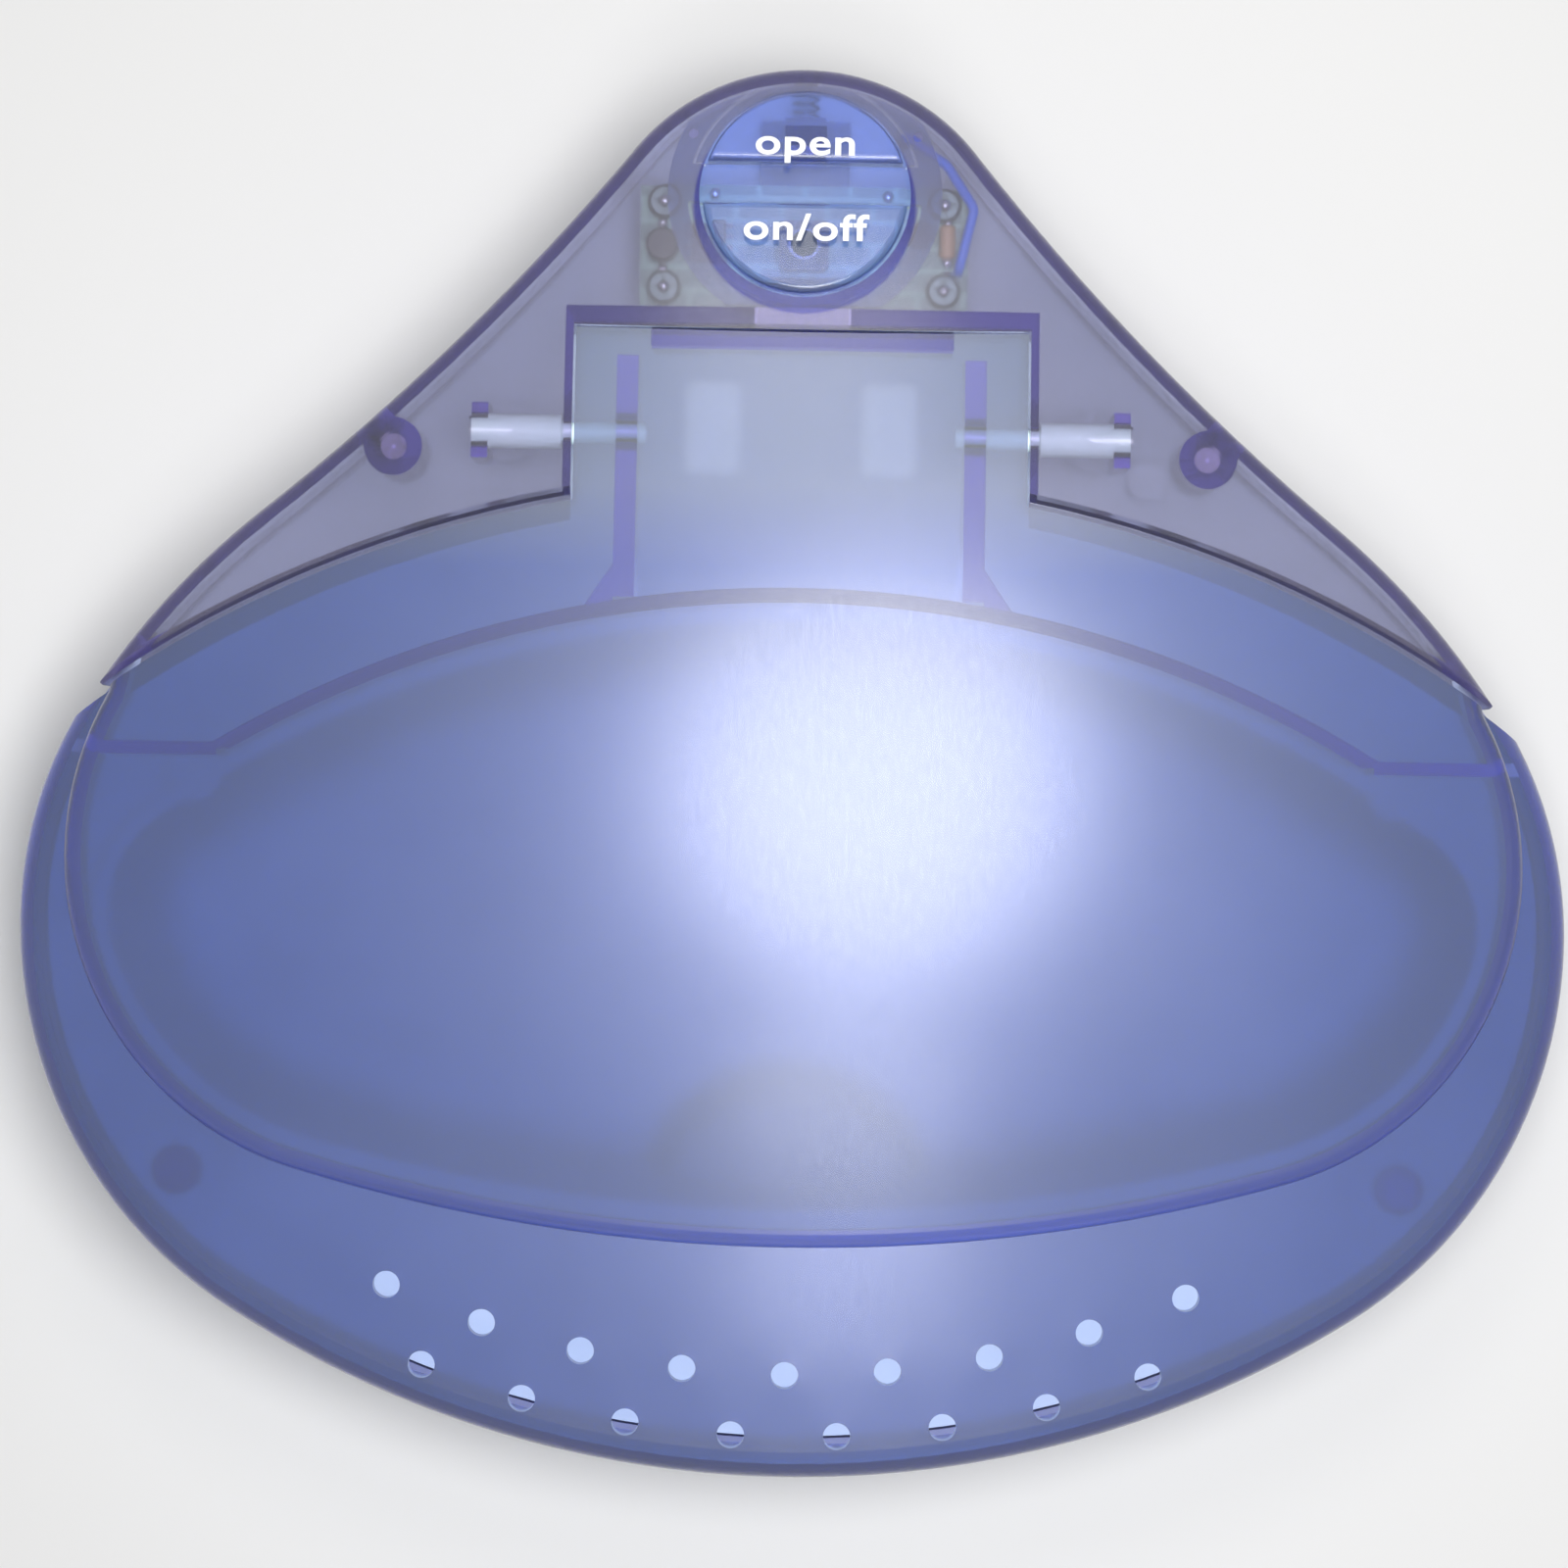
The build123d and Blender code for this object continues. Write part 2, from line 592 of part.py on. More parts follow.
# Rear cover: shell behind the seam, with walls along the seam and round the tab's well
well_half_width = tab_half_width + gap
well_rear_y = hinge_y + tab_radius + gap
cover_seam = seam_radius + seam_gap
pin_step_x = well_half_width + seam_wall
with BuildPart() as rear_cover:
    add(rear_block.part)
    add(prism(seam_disc(cover_seam), parting_z - 1, above), mode=Mode.SUBTRACT)
    # Bevel along the seam, so that the lid's edge can swing back and up
    seam_face = rear_cover.faces().filter_by(GeomType.CYLINDER).sort_by(
        lambda face: abs(face.radius - cover_seam)
    )[0]
    chamfer(
        seam_face.edges().filter_by(lambda edge: edge.center().Z > parting_z + gap),
        seam_relief,
    )
    with BuildPart(mode=Mode.PRIVATE) as hollow:
        add(prism(outline(shell), parting_z - 1, above))
        add(dome(shell), mode=Mode.INTERSECT)
        add(prism(seam_disc(cover_seam + seam_wall), parting_z - 2, above), mode=Mode.SUBTRACT)
        add(
            prism(
                strip(well_half_width + seam_wall, 0, well_rear_y + well_wall),
                parting_z - 2,
                above,
            ),
            mode=Mode.SUBTRACT,
        )
    add(hollow.part, mode=Mode.SUBTRACT)
    # Well under the tab: flat sides, rear wall cut round the hinge axis
    add(block(-well_half_width, well_half_width, 0, hinge_y, parting_z - 1, above), mode=Mode.SUBTRACT)
    add(
        block(-well_half_width, well_half_width, hinge_y - 1, well_rear_y, parting_z - 1, hinge_z),
        mode=Mode.SUBTRACT,
    )
    add(
        cross_bar(-well_half_width, hinge_y, hinge_z, tab_radius + gap, 2 * well_half_width),
        mode=Mode.SUBTRACT,
    )
    # Ledge that the lid's rear edge closes on
    with BuildPart(mode=Mode.PRIVATE) as ledge:
        add(prism(seam_disc(cover_seam + seam_wall), parting_z, above))
        add(prism(seam_disc(cover_seam - ledge_width), parting_z - 1, above + 1), mode=Mode.SUBTRACT)
        add(prism(oval(shell + 2 * gap), parting_z - 1, above + 1), mode=Mode.INTERSECT)
        add(dome(shell + gap), mode=Mode.INTERSECT)
        add(dome(shell + gap + ledge_thickness), mode=Mode.SUBTRACT)
        add(
            block(-well_half_width, well_half_width, 0, well_rear_y, parting_z - 1, above + 1),
            mode=Mode.SUBTRACT,
        )
    add(ledge.part)
    # Hinge ribs between the well's side walls and the outer walls
    for side in sides:
        with BuildPart(mode=Mode.PRIVATE) as rib:
            add(
                block(
                    side * hinge_rib_x - hinge_rib_thickness / 2,
                    side * hinge_rib_x + hinge_rib_thickness / 2,
                    hinge_y - 1.6 * pin_radius,
                    hinge_y + 1.6 * pin_radius,
                    hinge_z - hinge_rib_height,
                    above,
                )
            )
            add(dome(shell / 2), mode=Mode.INTERSECT)
        add(rib.part)
        with BuildPart(mode=Mode.PRIVATE) as post:
            foot = Plane(origin=(side * cover_post_x, cover_post_y, parting_z))
            add(rod(foot, cover_post_radius, above))
            add(dome(shell / 2), mode=Mode.INTERSECT)
        add(post.part)
        add(
            rod(foot, screw_radius + screw_fit, screw_length - deck_thickness + 1),
            mode=Mode.SUBTRACT,
        )
        # Stake that holds the key frame
        with BuildPart(mode=Mode.PRIVATE) as stake:
            add(rod(Plane(origin=(side * stake_x, stake_y, parting_z)), stake_radius, above))
            add(dome(shell / 2), mode=Mode.INTERSECT)
            add(dome(stake_foot_drop), mode=Mode.SUBTRACT)
        add(stake.part)
        # Bores for the hinge pin: a small one in the well's wall and a large one in the rib
        for bore_radius, inner_x, outer_x in (
            (pin_end_radius, well_half_width - 1, pin_step_x),
            (pin_radius, pin_step_x, pin_outer_x + gap),
        ):
            start_x = min(side * inner_x, side * outer_x)
            add(
                cross_bar(start_x, hinge_y, hinge_z, bore_radius + pin_fit, outer_x - inner_x),
                mode=Mode.SUBTRACT,
            )
    # Opening for the keys, and a window for the latch nose
    add(rod(Plane(origin=(0, key_y, parting_z)), key_hole_radius, above), mode=Mode.SUBTRACT)
    add(
        block(
            -latch_half_width - gap,
            latch_half_width + gap,
            well_rear_y - 2,
            well_rear_y + well_wall + gap,
            parting_z,
            latch_nose_z + latch_nose_height + 2 * gap,
        ),
        mode=Mode.SUBTRACT,
    )
save(rear_cover.part, "rear_cover")

# Hinge pins: a thick body between the cover's walls and a thin end through the lid's arm
with BuildPart() as hinge_pins:
    for side in sides:
        for radius, inner_x, outer_x in (
            (pin_end_radius, pin_inner_x, pin_step_x + gap),
            (pin_radius, pin_step_x + gap, pin_outer_x),
        ):
            start_x = min(side * inner_x, side * outer_x)
            add(cross_bar(start_x, hinge_y, hinge_z, radius, outer_x - inner_x))
save(hinge_pins.part, "hinge_pins")


def lid_form(drop):
    """Lid's brim and dome, drop inside the outer surface. The outer form is rounded."""
    with BuildPart() as form:
        add(prism(outline(drop - lid_overhang), lid_foot_z, above))
        add(brim(drop), mode=Mode.INTERSECT)
        if drop == 0:
            fillet(upper_edges(form), brim_rounding)
        with BuildPart(mode=Mode.PRIVATE) as crown_form:
            add(prism(oval(drop), lid_foot_z, above))
            add(dome(drop), mode=Mode.INTERSECT)
            if drop == 0:
                fillet(upper_edges(crown_form), dome_rounding)
        add(crown_form.part)
    return form.part


def upper_edges(form):
    """Edges where a form's sides meet its crown."""
    return (
        form.edges()
        .filter_by(GeomType.LINE, reverse=True)
        .filter_by(lambda edge: edge.center().Z > lid_foot_z + gap)
    )


lid_foot_z = parting_z + gap
with BuildPart() as lid:
    add(lid_form(0))
    # Keep what lies in front of the seam, and the tab
    with BuildPart(mode=Mode.PRIVATE) as plan:
        add(prism(seam_disc(seam_radius), parting_z, above))
        add(prism(strip(tab_half_width, 0, hinge_y), parting_z, above))
        add(cross_bar(-tab_half_width, hinge_y, hinge_z, tab_radius, 2 * tab_half_width))
    add(plan.part, mode=Mode.INTERSECT)
    with BuildPart(mode=Mode.PRIVATE) as hollow:
        add(lid_form(shell))
        with BuildPart(mode=Mode.PRIVATE) as rib_ring:
            add(prism(seam_disc(lid_rib_radius), lid_rib_foot_z, above))
            add(
                prism(seam_disc(lid_rib_radius - lid_rib_thickness), parting_z, above + 1),
                mode=Mode.SUBTRACT,
            )
            add(
                block(-lid_rib_end_x, lid_rib_end_x, side_rib_y, hinge_y, parting_z, above + 1),
                mode=Mode.INTERSECT,
            )
            for side in sides:
                ends = sorted((side * (lid_rib_end_x - lid_rib_thickness), side * side_rib_outer_x))
                add(
                    block(
                        *ends,
                        side_rib_y - side_rib_thickness / 2,
                        side_rib_y + side_rib_thickness / 2,
                        lid_rib_foot_z,
                        above,
                    )
                )
        add(rib_ring.part, mode=Mode.SUBTRACT)
    add(hollow.part, mode=Mode.SUBTRACT)
    # Hinge arms, gussets and strike bar
    with BuildPart(mode=Mode.PRIVATE) as fittings:
        for side in sides:
            inner_x = side * (arm_x - arm_thickness / 2)
            outer_x = side * (arm_x + arm_thickness / 2)
            low_x, high_x = min(inner_x, outer_x), max(inner_x, outer_x)
            add(block(low_x, high_x, arm_front_y, arm_rear_y, arm_foot_z, above))
            add(cross_bar(low_x, hinge_y, hinge_z, arm_boss_radius, arm_thickness))
            with BuildSketch(Plane.XY.offset(arm_foot_z)):
                with BuildLine():
                    Polyline(
                        (outer_x, arm_front_y - gusset_lead),
                        (outer_x + side * gusset, arm_front_y - gusset_lead),
                        (outer_x, arm_front_y + gusset),
                        close=True,
                    )
                make_face()
            extrude(amount=above - arm_foot_z)
        add(
            block(
                -strike_half_width,
                strike_half_width,
                hinge_y + tab_radius - strike_thickness - 1,
                hinge_y + tab_radius,
                strike_foot_z,
                above,
            )
        )
        add(dome(shell / 2), mode=Mode.INTERSECT)
        add(plan.part, mode=Mode.INTERSECT)
    add(fittings.part)
    add(
        cross_bar(-tab_half_width, hinge_y, hinge_z, pin_end_radius + arm_fit, 2 * tab_half_width),
        mode=Mode.SUBTRACT,
    )
    # Two rows of drain holes through the brim
    for row_y, row_radius, count, pitch in (
        (drain_row_upper_y, drain_row_upper_radius, drain_row_upper_count, drain_row_upper_pitch),
        (drain_row_lower_y, drain_row_lower_radius, drain_row_lower_count, drain_row_lower_pitch),
    ):
        with BuildSketch(Plane.XY.offset(parting_z)):
            for step in range(count):
                turn = (step - (count - 1) / 2) * pitch / row_radius
                with Locations((row_radius * sin(turn), row_y + row_radius * (1 - cos(turn)))):
                    Circle(drain_hole_radius)
        extrude(amount=above - parting_z, mode=Mode.SUBTRACT)
save(lid.part, "lid")

# Key frame: ring under the cover with a band between the keys
with BuildPart() as key_frame:
    with BuildSketch() as ring:
        with Locations((0, key_y)):
            Circle(frame_outer_radius)
            Circle(frame_inner_radius, mode=Mode.SUBTRACT)
    add(skin(ring.sketch, shell + screw_fit, bridge_foot_drop))
    add(
        skin(
            strip(frame_inner_radius + 1, bridge_front_y, bridge_rear_y),
            shell + screw_fit,
            bridge_foot_drop,
        )
    )
    add(skin(strip(key_radius - gap, bridge_front_y, bridge_rear_y), bridge_drop, bridge_foot_drop))
    add(prism(outline(shell + gap), deck_top, above), mode=Mode.INTERSECT)
    add(
        block(-well_half_width, well_half_width, 0, well_rear_y + well_wall + gap, deck_top, above),
        mode=Mode.SUBTRACT,
    )
    with BuildSketch(Plane.XY.offset(deck_top)):
        with Locations(*pair(stake_x, stake_y)):
            Circle(stake_radius + screw_fit)
    extrude(amount=above - deck_top, mode=Mode.SUBTRACT)
save(key_frame.part, "key_frame")


def key_half(radius, front, rear):
    """Plan of one key: part of a disc in front of or behind the band."""
    with BuildSketch() as face:
        with Locations((0, key_y)):
            Circle(radius)
        with Locations((0, (front + rear) / 2)):
            Rectangle(4 * radius, rear - front, mode=Mode.INTERSECT)
    return face.sketch


def key_body(front, rear):
    """Key cap with its retaining lip, without its stem."""
    with BuildPart() as cap:
        add(skin(key_half(key_radius, front, rear), -key_proud, key_depth))
        top = cap.faces().filter_by(GeomType.SPHERE).sort_by(Axis.Z)[-1]
        fillet(top.edges(), key_edge_rounding)
        add(
            skin(
                key_half(key_lip_radius, front, rear),
                key_depth - key_lip_thickness,
                key_depth,
            )
        )
        add(prism(outline(shell + gap), deck_top, above), mode=Mode.INTERSECT)
    return cap.part


# Open key: rear half, with a wedge stem that moves the latch
stem_front = latch_ramp_y - stem_lead
stem_rear = latch_ramp_y + stem_back
ramp_line = latch_ramp_y - latch_ramp_top_z
with BuildPart() as open_key:
    add(key_body(bridge_rear_y + gap, key_y + key_lip_radius))
    with BuildPart(mode=Mode.PRIVATE) as stem:
        add(
            block(
                -latch_ramp_half_width,
                latch_ramp_half_width,
                stem_front,
                stem_rear,
                latch_stem_foot_z,
                above,
            )
        )
        add(dome(key_depth - key_lip_thickness), mode=Mode.INTERSECT)
        with BuildSketch(Plane.YZ.offset(-latch_ramp_half_width - 1)):
            with BuildLine():
                Polyline(
                    (latch_stem_foot_z + ramp_line, latch_stem_foot_z),
                    (above + ramp_line, above),
                    (above + ramp_line, latch_stem_foot_z),
                    close=True,
                )
            make_face()
        extrude(amount=2 * latch_ramp_half_width + 2, mode=Mode.SUBTRACT)
    add(stem.part)
save(open_key.part, "open_key")

# Power key: front half, with a stem over the switch
switch_top = board_z + board_thickness + switch_height
plunger_top = switch_top + plunger_proud
with BuildPart() as power_key:
    add(key_body(key_y - key_lip_radius, bridge_front_y - gap))
    with BuildPart(mode=Mode.PRIVATE) as stem:
        add(rod(Plane(origin=(0, switch_y, plunger_top)), plunger_radius + key_stem_margin, above))
        add(dome(key_depth - key_lip_thickness), mode=Mode.INTERSECT)
    add(stem.part)
save(power_key.part, "power_key")

# Latch slide: plate on the deck, upright with a nose through the well's wall, ramp at the rear
with BuildPart() as latch_slide:
    with BuildSketch(Plane.YZ.offset(-latch_half_width)):
        with BuildLine():
            plate_low = deck_top + gap
            plate_high = plate_low + latch_plate
            nose_top = latch_nose_z + latch_nose_height
            nose_tip = hinge_y + tab_radius + gap
            Polyline(
                (latch_upright_y, plate_low),
                (latch_rear_y, plate_low),
                (latch_rear_y, plate_high),
                (latch_upright_y + latch_upright, plate_high),
                (latch_upright_y + latch_upright, nose_top),
                (latch_upright_y, nose_top),
                (nose_tip, latch_nose_z + latch_nose_height / 2),
                (nose_tip, latch_nose_z),
                (latch_upright_y, latch_nose_z),
                close=True,
            )
        make_face()
    extrude(amount=2 * latch_half_width)
    with BuildSketch(Plane.YZ.offset(-latch_ramp_half_width)):
        with BuildLine():
            ramp_start = plate_high + ramp_line + ramp_gap * sqrt(2)
            ramp_end = latch_ramp_top_z + ramp_line + ramp_gap * sqrt(2)
            Polyline(
                (ramp_start, plate_high),
                (ramp_end, latch_ramp_top_z),
                (latch_rear_y, latch_ramp_top_z),
                (latch_rear_y, plate_high),
                close=True,
            )
        make_face()
    extrude(amount=2 * latch_ramp_half_width)
save(latch_slide.part, "latch_slide")

# Lid stop pads
with BuildPart() as lid_stop_pads:
    for side in sides:
        add(
            block(
                side * pad_x - pad_width / 2,
                side * pad_x + pad_width / 2,
                pad_y - pad_depth / 2,
                pad_y + pad_depth / 2,
                deck_top,
                pad_top,
            )
        )
    fillet(lid_stop_pads.edges().filter_by(Axis.Z), pad_width / 8)
save(lid_stop_pads.part, "lid_stop_pads")

# Circuit board with a slot for the latch and holes for its screws
with BuildPart() as circuit_board:
    with BuildSketch(Plane.XY.offset(board_z)):
        add(strip(board_half_width, board_front_y, board_rear_y))
        add(
            strip(
                latch_half_width + 2 * gap,
                board_front_y - 1,
                latch_upright_y + latch_upright + open_travel + 2 * gap,
            ),
            mode=Mode.SUBTRACT,
        )
        with Locations(*board_posts):
            Circle(board_screw_radius + screw_fit, mode=Mode.SUBTRACT)
    extrude(amount=board_thickness)
save(circuit_board.part, "circuit_board")

board_top = board_z + board_thickness
with BuildPart() as board_screws:
    for screw_x, screw_y in board_posts:
        add(
            screw(
                screw_x,
                screw_y,
                board_top,
                board_screw_length,
                -1,
                board_screw_radius,
                board_screw_head_radius,
                board_screw_head_height,
            )
        )
save(board_screws.part, "board_screws")

# Tact switch: square body with a round plunger that sinks into it
with BuildPart() as switch_body:
    add(
        block(
            -switch_size / 2,
            switch_size / 2,
            switch_y - switch_size / 2,
            switch_y + switch_size / 2,
            board_top,
            switch_top,
        )
    )
    chamfer(switch_body.edges().filter_by(Axis.Z), switch_corner)
    add(
        rod(
            Plane(origin=(0, switch_y, board_top + switch_floor)),
            plunger_radius + gap,
            switch_height,
        ),
        mode=Mode.SUBTRACT,
    )
save(switch_body.part, "switch_body")
with BuildPart() as switch_plunger:
    plunger_low = board_top + switch_floor + power_travel + gap
    add(rod(Plane(origin=(0, switch_y, plunger_low)), plunger_radius, plunger_top - plunger_low))
save(switch_plunger.part, "switch_plunger")

# Parts on the board
with BuildPart() as timer_chip:
    add(
        block(
            chip_x - chip_width / 2,
            chip_x + chip_width / 2,
            chip_y - chip_length / 2,
            chip_y + chip_length / 2,
            board_top + chip_standoff,
            board_top + chip_height,
        )
    )
    chamfer(timer_chip.faces().sort_by(Axis.Z)[-1].edges(), chip_bevel)
    for side in sides:
        for leg in range(4):
            leg_x = chip_x + side * (chip_width + chip_leg_reach) / 2
            leg_y = chip_y + (leg - 1.5) * chip_leg_pitch
            add(
                block(
                    leg_x - chip_leg_reach / 2,
                    leg_x + chip_leg_reach / 2,
                    leg_y - chip_leg_width / 2,
                    leg_y + chip_leg_width / 2,
                    board_top,
                    board_top + chip_leg_height,
                )
            )
save(timer_chip.part, "timer_chip")

with BuildPart() as transistor:
    add(
        block(
            transistor_x - transistor_width / 2,
            transistor_x + transistor_width / 2,
            transistor_y - transistor_depth / 2,
            transistor_y + transistor_depth / 2,
            board_top,
            board_top + transistor_height,
        )
    )
    chamfer(transistor.edges().filter_by(Axis.Z), transistor_bevel)
save(transistor.part, "transistor")

with BuildPart() as capacitor:
    base = Plane(origin=(capacitor_x, capacitor_y, board_top))
    add(rod(base, capacitor_radius, capacitor_height))
    fillet(capacitor.faces().sort_by(Axis.Z)[-1].edges(), part_rounding)
save(capacitor.part, "capacitor")

with BuildPart() as resistor:
    end = Plane(
        origin=(resistor_x, resistor_front_y, board_top + resistor_radius),
        x_dir=(1, 0, 0),
        z_dir=(0, 1, 0),
    )
    add(rod(end, resistor_radius, resistor_length))
    fillet(resistor.edges().filter_by(GeomType.CIRCLE), part_rounding)
save(resistor.part, "resistor")

# Screws of the case
with BuildPart() as deck_screws:
    for side in sides:
        add(
            screw(
                side * post_x,
                post_y,
                deck_top,
                screw_length,
                -1,
                screw_radius,
                screw_head_radius,
                screw_head_height,
            )
        )
save(deck_screws.part, "deck_screws")

# Caps pushed over the heads of the deck screws, each with a dimple
with BuildPart() as screw_caps:
    with BuildSketch(Plane.XY.offset(deck_top)):
        with Locations(*pair(post_x, post_y)):
            Circle(cap_radius)
    extrude(amount=cap_height)
    fillet(screw_caps.faces().sort_by(Axis.Z)[-2:].edges(), screw_fit * 6)
    with BuildSketch(Plane.XY.offset(deck_top)):
        with Locations(*pair(post_x, post_y)):
            Circle(screw_head_radius + screw_fit)
    extrude(amount=screw_head_height + screw_fit, mode=Mode.SUBTRACT)
    with BuildSketch(Plane.XY.offset(deck_top + cap_height)):
        with Locations(*pair(post_x, post_y)):
            Circle(cap_dimple_radius)
    extrude(amount=-cap_dimple_depth, mode=Mode.SUBTRACT)
save(screw_caps.part, "screw_caps")

with BuildPart() as cover_screws:
    for side in sides:
        add(
            screw(
                side * cover_post_x,
                cover_post_y,
                deck_foot,
                screw_length,
                1,
                screw_radius,
                screw_head_radius,
                screw_head_height,
            )
        )
save(cover_screws.part, "cover_screws")
with BuildPart() as base_screws:
    for side in sides:
        add(
            screw(
                side * base_screw_x,
                base_screw_y,
                base_screw_seat_z,
                deck_top + base_column_radius - 2 - base_screw_seat_z,
                1,
                screw_radius,
                screw_head_radius,
                screw_head_height,
            )
        )
save(base_screws.part, "base_screws")

# Motor below the deck: flat-sided can, shaft and eccentric weight
motor_z = deck_foot - motor_flat / 2
with BuildPart() as motor_can:
    add(cross_bar(motor_x, motor_y, motor_z, motor_radius, motor_length))
    fillet(motor_can.edges().filter_by(GeomType.CIRCLE), can_rounding)
    add(
        block(
            motor_x - 1,
            motor_x + motor_length + 1,
            motor_y - motor_radius,
            motor_y + motor_radius,
            motor_z - motor_flat / 2,
            motor_z + motor_flat / 2,
        ),
        mode=Mode.INTERSECT,
    )
    add(cross_bar(motor_x + motor_length, motor_y, motor_z, collar_radius, collar_length))
    add(
        cross_bar(motor_x + bore_start, motor_y, motor_z, shaft_radius + shaft_fit, motor_length),
        mode=Mode.SUBTRACT,
    )
save(motor_can.part, "motor_can")
with BuildPart() as motor_shaft:
    shaft_span = motor_length - shaft_start + shaft_length
    add(cross_bar(motor_x + shaft_start, motor_y, motor_z, shaft_radius, shaft_span))
save(motor_shaft.part, "motor_shaft")
weight_x = motor_x + motor_length + weight_start
with BuildPart() as eccentric_weight:
    add(cross_bar(weight_x, motor_y, motor_z, weight_radius, weight_length))
    add(
        block(
            weight_x - 1,
            weight_x + weight_length + 1,
            motor_y - weight_radius - 1,
            motor_y + weight_radius + 1,
            motor_z + shaft_radius + weight_hub,
            motor_z + weight_radius + 1,
        ),
        mode=Mode.SUBTRACT,
    )
    add(
        cross_bar(weight_x - 1, motor_y, motor_z, shaft_radius, weight_length + 2),
        mode=Mode.SUBTRACT,
    )
save(eccentric_weight.part, "eccentric_weight")

# Motor bracket: strap round the can, with ears on the deck's underside
with BuildPart() as motor_bracket:
    with BuildSketch(Plane.YZ.offset(bracket_x)):
        with Locations((motor_y, motor_z)):
            Circle(bracket_half)
            Circle(motor_radius, mode=Mode.SUBTRACT)
        with Locations((motor_y, motor_z)):
            Rectangle(4 * bracket_half, motor_flat, mode=Mode.INTERSECT)
        with Locations((motor_y, motor_z - motor_flat / 2 - bracket_thickness / 2)):
            Rectangle(
                2 * sqrt(bracket_half**2 - (motor_flat / 2) ** 2),
                bracket_thickness,
            )
        ear_root = sqrt(bracket_half**2 - (motor_flat / 2) ** 2)
        with Locations((motor_y + ear_root, deck_foot)):
            Rectangle(
                bracket_half + bracket_ear - ear_root,
                bracket_thickness,
                align=(Align.MIN, Align.MAX),
            )
    extrude(amount=bracket_length)
    add(
        rod(
            Plane(origin=(bracket_screw_x, bracket_screw_y, deck_foot - bracket_thickness)),
            board_screw_radius + screw_fit,
            bracket_thickness,
        ),
        mode=Mode.SUBTRACT,
    )
save(motor_bracket.part, "motor_bracket")
with BuildPart() as bracket_screw:
    add(
        screw(
            bracket_screw_x,
            bracket_screw_y,
            deck_foot - bracket_thickness,
            bracket_screw_length,
            1,
            board_screw_radius,
            board_screw_head_radius,
            board_screw_head_height,
        )
    )
save(bracket_screw.part, "bracket_screw")

# Latch spring: coil between the slide and the cover's rear wall
spring_front = latch_rear_y
spring_rear = rear_edge_y - shell
spring_z = (plate_high + latch_ramp_top_z) / 2
with BuildPart() as latch_spring:
    with BuildLine():
        coil_length = spring_rear - spring_front - latch_spring_wire - 2 * ramp_gap
        coil = Helix(
            pitch=coil_length / latch_spring_turns,
            height=coil_length,
            radius=latch_spring_coil,
            center=(0, spring_front + latch_spring_wire / 2 + ramp_gap, spring_z),
            direction=(0, 1, 0),
        )
    with BuildSketch(Plane(origin=coil @ 0, z_dir=coil % 0)):
        Circle(latch_spring_wire / 2)
    sweep()
save(latch_spring.part, "latch_spring")


def lead(points, bend):
    """Round lead along straight runs joined by arcs of one bend radius."""
    with BuildPart() as wire:
        with BuildLine() as route:
            FilletPolyline(*points, radius=bend)
        with BuildSketch(Plane(origin=route.line @ 0, z_dir=route.line % 0)):
            Circle(lead_radius)
        sweep()
    return wire.part


# Leads: two from the motor to the board, one from the board round the keys to the cells
for name, tag_y, turn_y, hole in (
    ("motor_lead_red", motor_y + motor_tag, 39.2, red_hole),
    ("motor_lead_black", motor_y - motor_tag, 29.2, black_hole),
):
    route_points = [
        (motor_x, tag_y, motor_z),
        (motor_x - 7.0, tag_y, motor_z),
        (hole[0] + 6.0, turn_y, motor_z),
        (hole[0], hole[1] - 8.0, motor_z),
        (*hole, motor_z + 3.0),
        (*hole, board_z),
    ]
    save(lead(route_points, motor_lead_bend), name)
blue_points = [
    (18.8, 61.0, board_top),
    (18.8, 61.0, board_top + 2.4),
    (20.6, 68.6, board_top + 2.0),
    (17.2, 74.0, board_top + 0.6),
    (*blue_hole, board_top - 2.0),
    (*blue_hole, deck_foot - 2.0),
]
save(lead(blue_points, blue_lead_bend), "battery_lead_blue")
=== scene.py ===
import math

import bmesh
import bpy
from mathutils import Matrix, Vector


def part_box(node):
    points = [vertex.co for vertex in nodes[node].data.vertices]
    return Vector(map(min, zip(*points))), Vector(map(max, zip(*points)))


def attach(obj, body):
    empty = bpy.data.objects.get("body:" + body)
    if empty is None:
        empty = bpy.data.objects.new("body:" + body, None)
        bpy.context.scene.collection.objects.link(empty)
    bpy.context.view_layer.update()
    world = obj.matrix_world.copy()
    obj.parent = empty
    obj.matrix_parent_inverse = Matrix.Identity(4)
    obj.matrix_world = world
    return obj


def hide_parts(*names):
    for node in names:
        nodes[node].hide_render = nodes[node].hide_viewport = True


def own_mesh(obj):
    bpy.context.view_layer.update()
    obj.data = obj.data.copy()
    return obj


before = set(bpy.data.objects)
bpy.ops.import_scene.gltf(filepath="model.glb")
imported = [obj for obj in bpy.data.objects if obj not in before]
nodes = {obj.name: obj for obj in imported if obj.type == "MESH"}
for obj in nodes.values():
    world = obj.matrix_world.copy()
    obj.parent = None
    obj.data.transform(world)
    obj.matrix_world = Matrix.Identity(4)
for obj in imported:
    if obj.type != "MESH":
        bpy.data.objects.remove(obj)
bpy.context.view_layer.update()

# An eyeglass cleaner seen from straight above: a frosted blue lid over a shaking basin, and two keys
# behind it. Lengths are in metres.

mm = 0.001
white = (1.0, 1.0, 1.0, 1.0)


# Parts of node materials

def new_material(name):
    """An empty node material with its output and a Principled shader joined to it."""
    material = bpy.data.materials.new(name)
    material.use_nodes = True
    tree = material.node_tree
    tree.nodes.clear()
    output = tree.nodes.new("ShaderNodeOutputMaterial")
    shader = tree.nodes.new("ShaderNodeBsdfPrincipled")
    tree.links.new(shader.outputs["BSDF"], output.inputs["Surface"])
    return material, tree, shader, output


